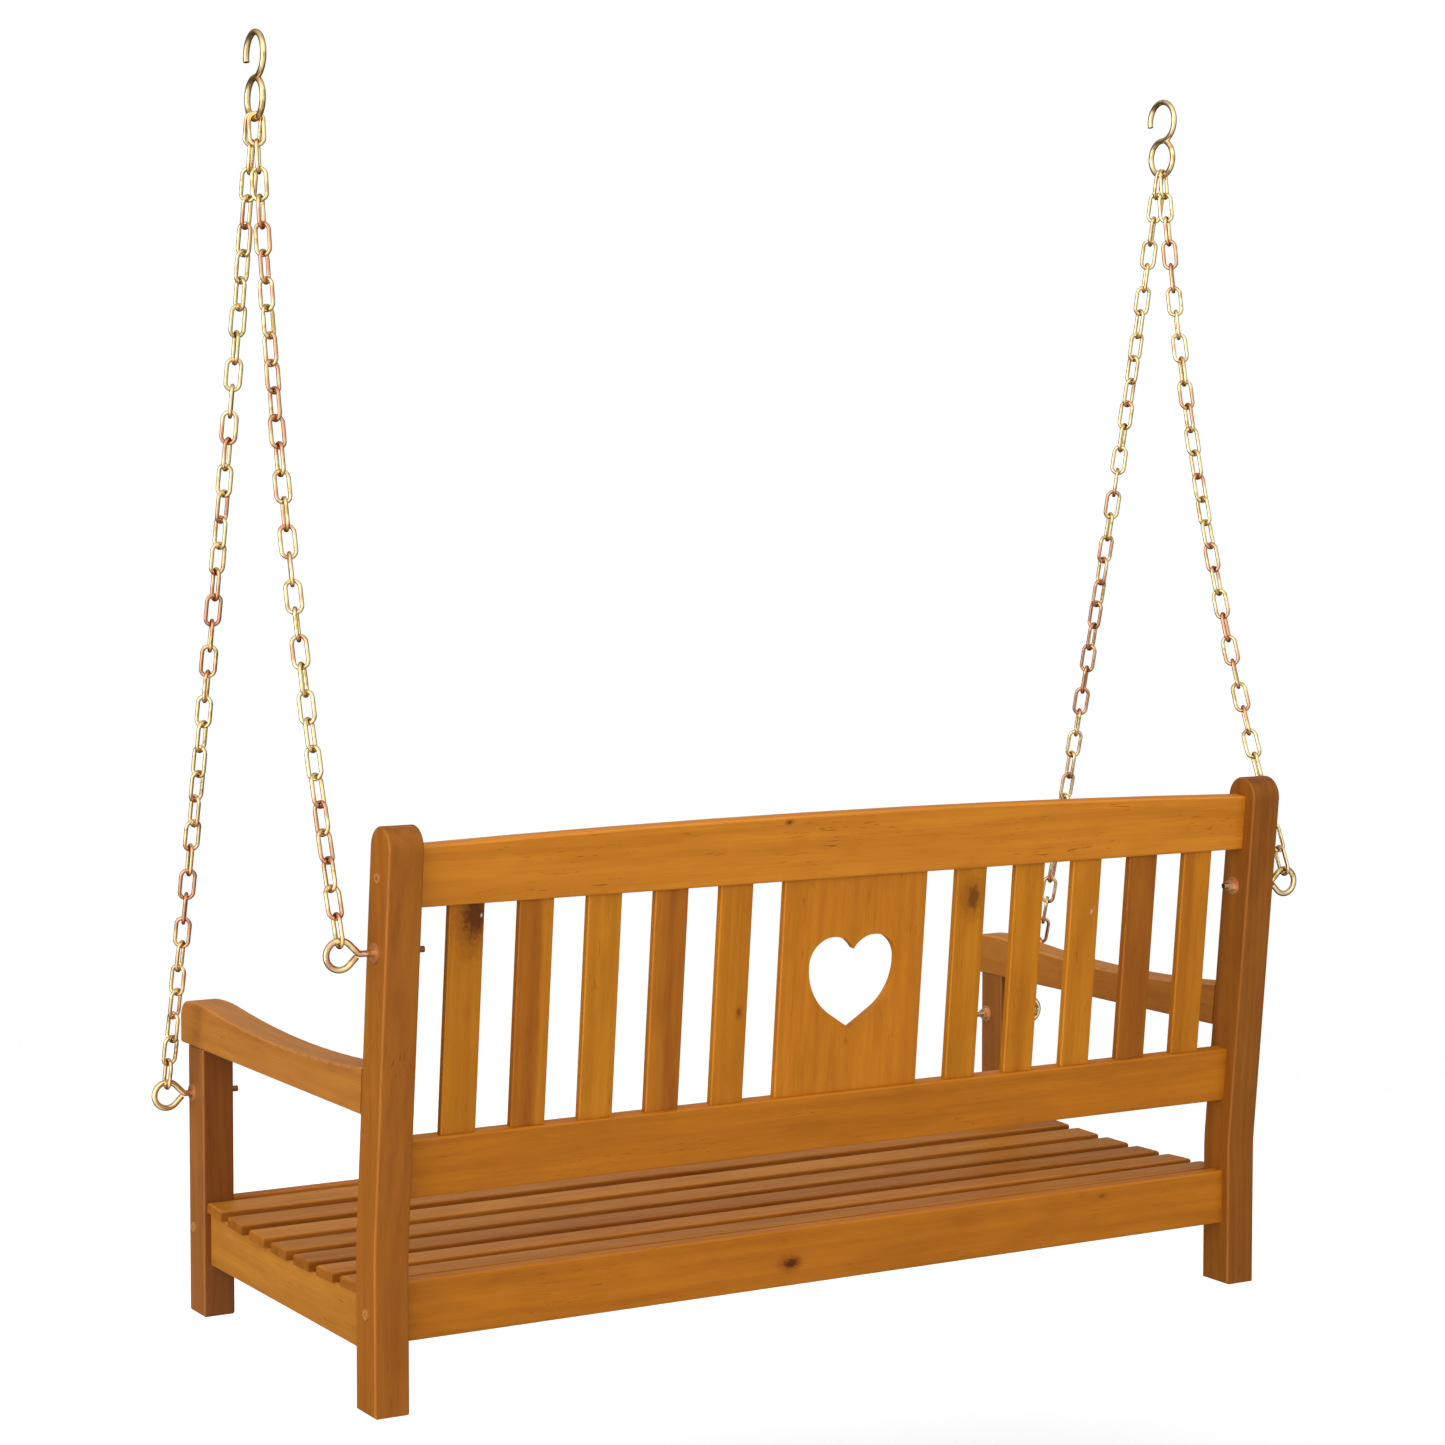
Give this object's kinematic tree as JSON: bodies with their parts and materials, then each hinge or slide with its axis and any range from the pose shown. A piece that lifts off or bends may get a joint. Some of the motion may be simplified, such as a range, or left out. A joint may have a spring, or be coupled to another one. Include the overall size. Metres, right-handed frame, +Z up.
{
  "type": "porch swing",
  "caption": "Slatted wooden porch swing with a heart cut through its back, hung on chains from two S-hooks.",
  "frame": {"origin": "on the hanging line, midway between the two S-hooks, at the centre of their open crooks", "axes": "+Z up, +X towards the sitter's left, -Y towards the front of the seat"},
  "size_m": [1.318, 0.614, 1.4995],
  "materials": {
    "timber": "oiled hardwood, honey to golden brown, satin",
    "zinc_wire": "yellow zinc plating on steel wire",
    "zinc_washers": "yellow zinc plating, coppery",
    "zinc_nuts": "yellow zinc plating",
    "screw_heads": "yellow zinc plating, dulled"
  },
  "bodies": {
    "hooks": {"s_hook_left": "zinc_wire", "s_hook_right": "zinc_wire"},
    "top_links": {"top_link_rear_left": "zinc_wire", "top_link_rear_right": "zinc_wire", "top_link_front_left": "zinc_wire", "top_link_front_right": "zinc_wire"},
    "chain_rear_left": {"chain_rear_left": "zinc_wire"},
    "chain_rear_right": {"chain_rear_right": "zinc_wire"},
    "chain_front_left": {"chain_front_left": "zinc_wire"},
    "chain_front_right": {"chain_front_right": "zinc_wire"},
    "bench": {"rear_post_left": "timber", "front_post_left": "timber", "armrest_left": "timber", "seat_side_rail_left": "timber", "rear_post_right": "timber", "front_post_right": "timber", "armrest_right": "timber", "seat_side_rail_right": "timber", "seat_front_rail": "timber", "seat_rear_rail": "timber", "seat_centre_support": "timber", "seat_slat_1": "timber", "seat_slat_2": "timber", "seat_slat_3": "timber", "seat_slat_4": "timber", "seat_slat_5": "timber", "seat_slat_6": "timber", "seat_slat_7": "timber", "back_top_rail": "timber", "back_lower_rail": "timber", "back_slat_1": "timber", "back_slat_2": "timber", "back_slat_3": "timber", "back_slat_4": "timber", "back_slat_5": "timber", "back_slat_6": "timber", "back_slat_7": "timber", "back_slat_8": "timber", "back_slat_9": "timber", "back_slat_10": "timber", "heart_panel": "timber", "eye_bolt_rear_left": "zinc_wire", "eye_bolt_rear_right": "zinc_wire", "eye_bolt_front_left": "zinc_wire", "eye_bolt_front_right": "zinc_wire", "eye_bolt_washers": "zinc_washers", "eye_bolt_nuts": "zinc_nuts", "frame_screws": "screw_heads"}
  },
  "joints": [
    {"name": "swing", "type": "hinge", "parent": "hooks", "child": "top_links", "pos_m": [0, 0, -0.0475], "axis": [1, 0, 0], "range_deg": [-25, 25]},
    {"name": "sway", "type": "hinge", "parent": "top_links", "child": "chain_rear_left", "pos_m": [0.62924, 0.00541, -0.09122], "axis": [0, 1, 0], "range_deg": [-4, 4]},
    {"name": "sway_rear_right", "type": "hinge", "parent": "top_links", "child": "chain_rear_right", "pos_m": [-0.62924, 0.00541, -0.09122], "axis": [0, 1, 0], "range_deg": [-4, 4]},
    {"name": "sway_front_left", "type": "hinge", "parent": "top_links", "child": "chain_front_left", "pos_m": [0.62911, -0.00916, -0.09059], "axis": [0, 1, 0], "range_deg": [-3.3, 3.3]},
    {"name": "sway_front_right", "type": "hinge", "parent": "top_links", "child": "chain_front_right", "pos_m": [-0.62911, -0.00916, -0.09059], "axis": [0, 1, 0], "range_deg": [-3.3, 3.3]},
    {"name": "bench_level", "type": "hinge", "parent": "chain_rear_left", "child": "bench", "pos_m": [0.64, 0.246, -0.968], "axis": [0, 1, 0], "range_deg": [-4, 4]}
  ],
  "couplings": [
    {"joint": "sway_rear_right", "follows": "sway", "ratio": 1},
    {"joint": "sway_front_left", "follows": "sway", "ratio": 0.78747},
    {"joint": "sway_front_right", "follows": "sway", "ratio": 0.78747},
    {"joint": "bench_level", "follows": "sway", "ratio": -0.98319}
  ]
}
